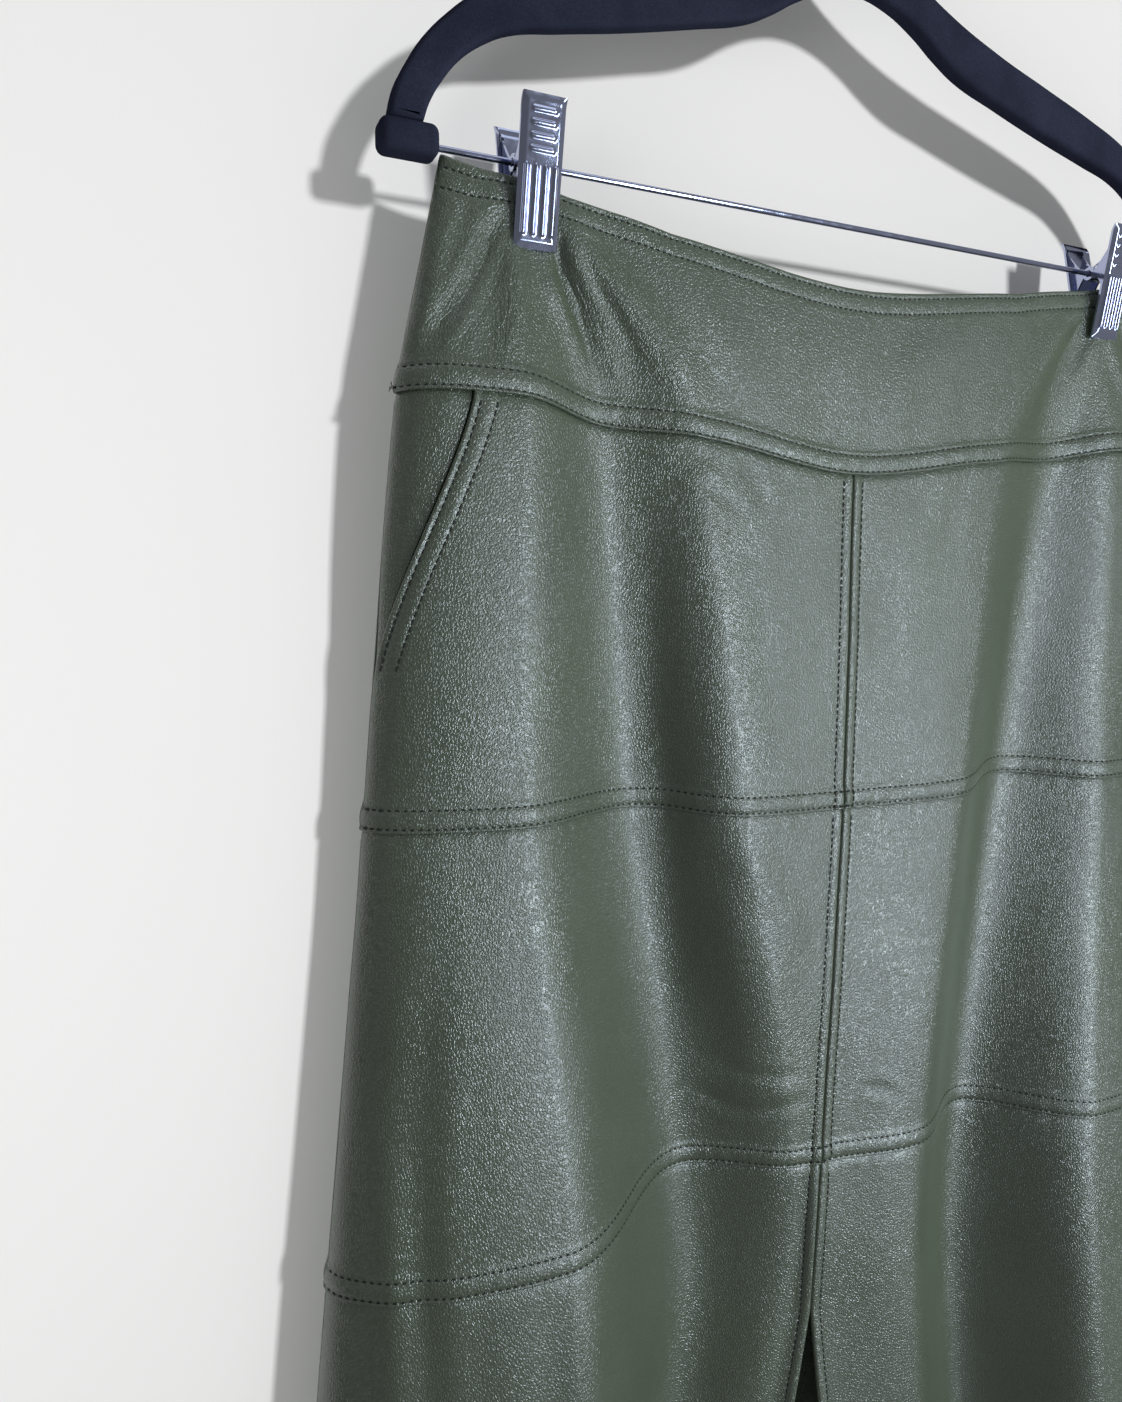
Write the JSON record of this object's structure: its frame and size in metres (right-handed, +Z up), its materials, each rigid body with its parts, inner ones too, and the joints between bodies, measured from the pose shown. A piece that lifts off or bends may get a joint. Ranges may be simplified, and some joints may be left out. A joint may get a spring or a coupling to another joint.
{
  "type": "a-line skirt on clip hanger",
  "caption": "High-waisted leather midi skirt with yoke, lapped tiers, slant pockets and a front slit, hung by clips from a trouser hanger.",
  "frame": {"origin": "inner top of the hanger's hook, where a rail carries it", "axes": "+X to the right of someone who looks at the front, +Y away from them, through the skirt, +Z up"},
  "size_m": [0.5318, 0.0705, 0.9436],
  "materials": {
    "leather": "soft olive green leather with a fine grain and a satin sheen",
    "flocked_plastic": "black plastic with a short flock",
    "chrome": "bright chrome plate",
    "zip_metal": "zip slider and pull in green enamel over metal"
  },
  "bodies": {
    "skirt_and_hanger": {"front_yoke": "leather", "front_upper_left": "leather", "front_upper_right": "leather", "pocket_side_left": "leather", "pocket_side_right": "leather", "front_middle_left": "leather", "front_middle_right": "leather", "front_lower_left": "leather", "front_lower_right": "leather", "back_yoke_left": "leather", "back_yoke_right": "leather", "back_upper_left": "leather", "back_upper_right": "leather", "back_middle_left": "leather", "back_middle_right": "leather", "back_lower_left": "leather", "back_lower_right": "leather", "zip_slider": "zip_metal", "hanger_arm": "flocked_plastic", "hanger_cap_left": "flocked_plastic", "hanger_cap_right": "flocked_plastic", "hanger_bar": "chrome", "hanger_hook": "chrome", "clip_left_front": "chrome", "clip_left_back": "chrome", "clip_left_spring": "chrome", "clip_right_front": "chrome", "clip_right_back": "chrome", "clip_right_spring": "chrome"},
    "pull_tab": {"zip_pull": "zip_metal"}
  },
  "joints": [
    {"name": "pull_tab_swing", "type": "hinge", "parent": "skirt_and_hanger", "child": "pull_tab", "pos_m": [0, 0.0106, -0.222], "axis": [1, 0, 0], "range_deg": [0, 170]}
  ]
}
